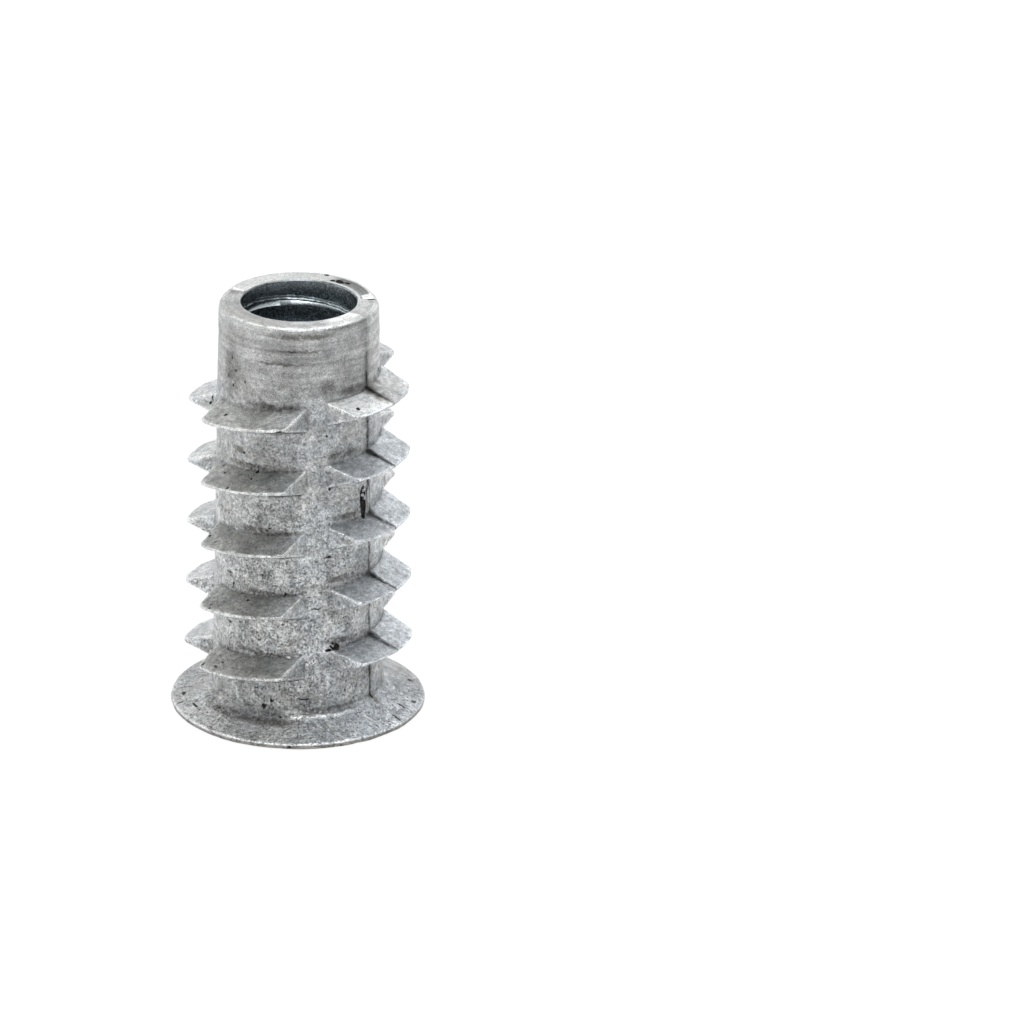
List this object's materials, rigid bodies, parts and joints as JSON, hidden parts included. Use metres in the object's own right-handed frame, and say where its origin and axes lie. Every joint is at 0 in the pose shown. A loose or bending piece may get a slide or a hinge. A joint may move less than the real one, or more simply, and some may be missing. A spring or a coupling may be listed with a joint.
{
  "type": "threaded insert",
  "caption": "Flanged die-cast insert for wood: tapered barrel with a coarse outer thread in separate wings, a bolt thread through it and a hex socket in the flanged end.",
  "frame": {"origin": "centre of the flange's flat underside, on the bore's axis", "axes": "+Z along the bore towards the plain end that enters the wood first; the casting's two halves part along the XZ plane; flats of the hex socket face +X and -X"},
  "size_m": [0.0118, 0.0118, 0.02],
  "materials": {
    "zinc": "satin as-cast zinc alloy, faintly mottled"
  },
  "bodies": {
    "root": {"insert": "zinc"}
  },
  "joints": []
}
